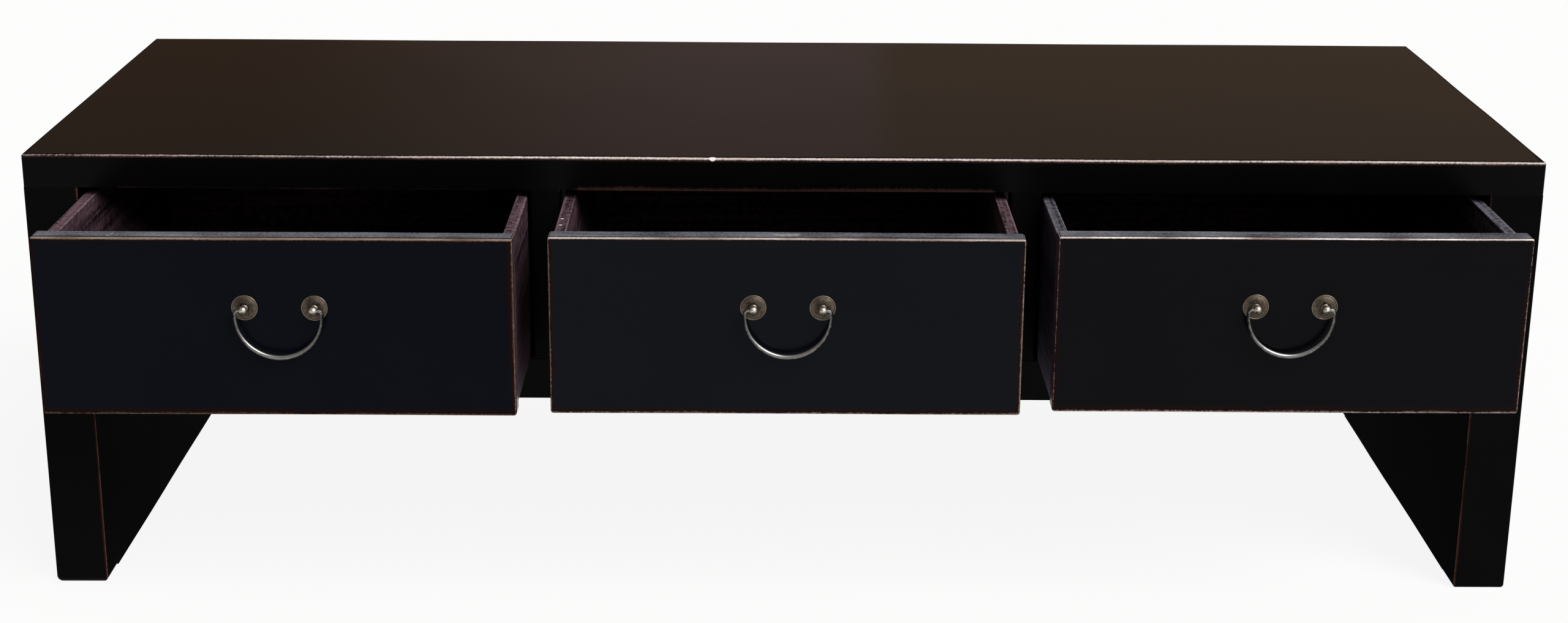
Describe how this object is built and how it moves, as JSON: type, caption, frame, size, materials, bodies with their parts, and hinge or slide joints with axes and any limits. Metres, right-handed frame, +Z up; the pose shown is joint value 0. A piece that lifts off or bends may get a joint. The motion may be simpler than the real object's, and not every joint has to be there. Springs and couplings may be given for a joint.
{
  "type": "low tv stand",
  "caption": "Low black lacquered stand with slab sides, a flat top and a row of inset drawers with swinging brass bail pulls.",
  "frame": {"origin": "on the floor, under the middle of the stand with its drawers open as at rest", "axes": "+X along the front to the viewer's right, +Y from the front to the back, +Z up"},
  "size_m": [1.6, 0.7434, 0.49],
  "materials": {
    "black_lacquer": "satin black lacquer, edges worn to the brown undercoat",
    "stained_wood": "thin reddish-brown stain",
    "bare_wood": "planed, unfinished",
    "aged_brass": "aged",
    "dark_bronze": "dark, rubbed bright on the bow",
    "plain_steel": "plain"
  },
  "bodies": {
    "carcass": {"top_frame_front": "black_lacquer", "top_frame_back": "black_lacquer", "top_frame_left": "black_lacquer", "top_frame_right": "black_lacquer", "top_panel": "black_lacquer", "top_batten_left": "bare_wood", "top_batten_right": "bare_wood", "side_inner_board_left": "black_lacquer", "side_outer_board_left": "black_lacquer", "side_foot_rail_left": "black_lacquer", "post_front_left": "black_lacquer", "post_back_left": "black_lacquer", "side_inner_board_right": "black_lacquer", "side_outer_board_right": "black_lacquer", "side_foot_rail_right": "black_lacquer", "post_front_right": "black_lacquer", "post_back_right": "black_lacquer", "front_bottom_rail": "black_lacquer", "back_bottom_rail": "black_lacquer", "divider_left": "black_lacquer", "divider_right": "black_lacquer", "back_board": "black_lacquer", "runner_outer_left": "bare_wood", "guide_outer_left": "bare_wood", "runner_inner_left": "bare_wood", "guide_inner_left": "bare_wood", "runner_inner_right": "bare_wood", "guide_inner_right": "bare_wood", "runner_outer_right": "bare_wood", "guide_outer_right": "bare_wood", "drawer_stops": "bare_wood"},
    "drawer_left": {"drawer_left_front": "black_lacquer", "drawer_left_side_left": "stained_wood", "drawer_left_side_right": "stained_wood", "drawer_left_back": "stained_wood", "drawer_left_bottom": "stained_wood", "pull_left_plates": "aged_brass", "pull_left_posts": "aged_brass", "pull_left_fixings": "plain_steel"},
    "bail_left": {"pull_left_bail": "dark_bronze"},
    "drawer_middle": {"drawer_middle_front": "black_lacquer", "drawer_middle_side_left": "stained_wood", "drawer_middle_side_right": "stained_wood", "drawer_middle_back": "stained_wood", "drawer_middle_bottom": "stained_wood", "pull_middle_plates": "aged_brass", "pull_middle_posts": "aged_brass", "pull_middle_fixings": "plain_steel"},
    "bail_middle": {"pull_middle_bail": "dark_bronze"},
    "drawer_right": {"drawer_right_front": "black_lacquer", "drawer_right_side_left": "stained_wood", "drawer_right_side_right": "stained_wood", "drawer_right_back": "stained_wood", "drawer_right_bottom": "stained_wood", "pull_right_plates": "aged_brass", "pull_right_posts": "aged_brass", "pull_right_fixings": "plain_steel"},
    "bail_right": {"pull_right_bail": "dark_bronze"}
  },
  "joints": [
    {"name": "drawer_left_slide", "type": "slide", "parent": "carcass", "child": "drawer_left", "axis": [0, -1, 0], "range_m": [-0.17, 0.21]},
    {"name": "bail_left_swing", "type": "hinge", "parent": "drawer_left", "child": "bail_left", "pos_m": [-0.50133, -0.36725, 0.3808], "axis": [-1, 0, 0], "range_deg": [-7, 185]},
    {"name": "drawer_middle_slide", "type": "slide", "parent": "carcass", "child": "drawer_middle", "axis": [0, -1, 0], "range_m": [-0.162, 0.218]},
    {"name": "bail_middle_swing", "type": "hinge", "parent": "drawer_middle", "child": "bail_middle", "pos_m": [0.0015, -0.35925, 0.3808], "axis": [-1, 0, 0], "range_deg": [-7, 185]},
    {"name": "drawer_right_slide", "type": "slide", "parent": "carcass", "child": "drawer_right", "axis": [0, -1, 0], "range_m": [-0.152, 0.228]},
    {"name": "bail_right_swing", "type": "hinge", "parent": "drawer_right", "child": "bail_right", "pos_m": [0.50383, -0.34925, 0.3808], "axis": [-1, 0, 0], "range_deg": [-7, 185]}
  ]
}
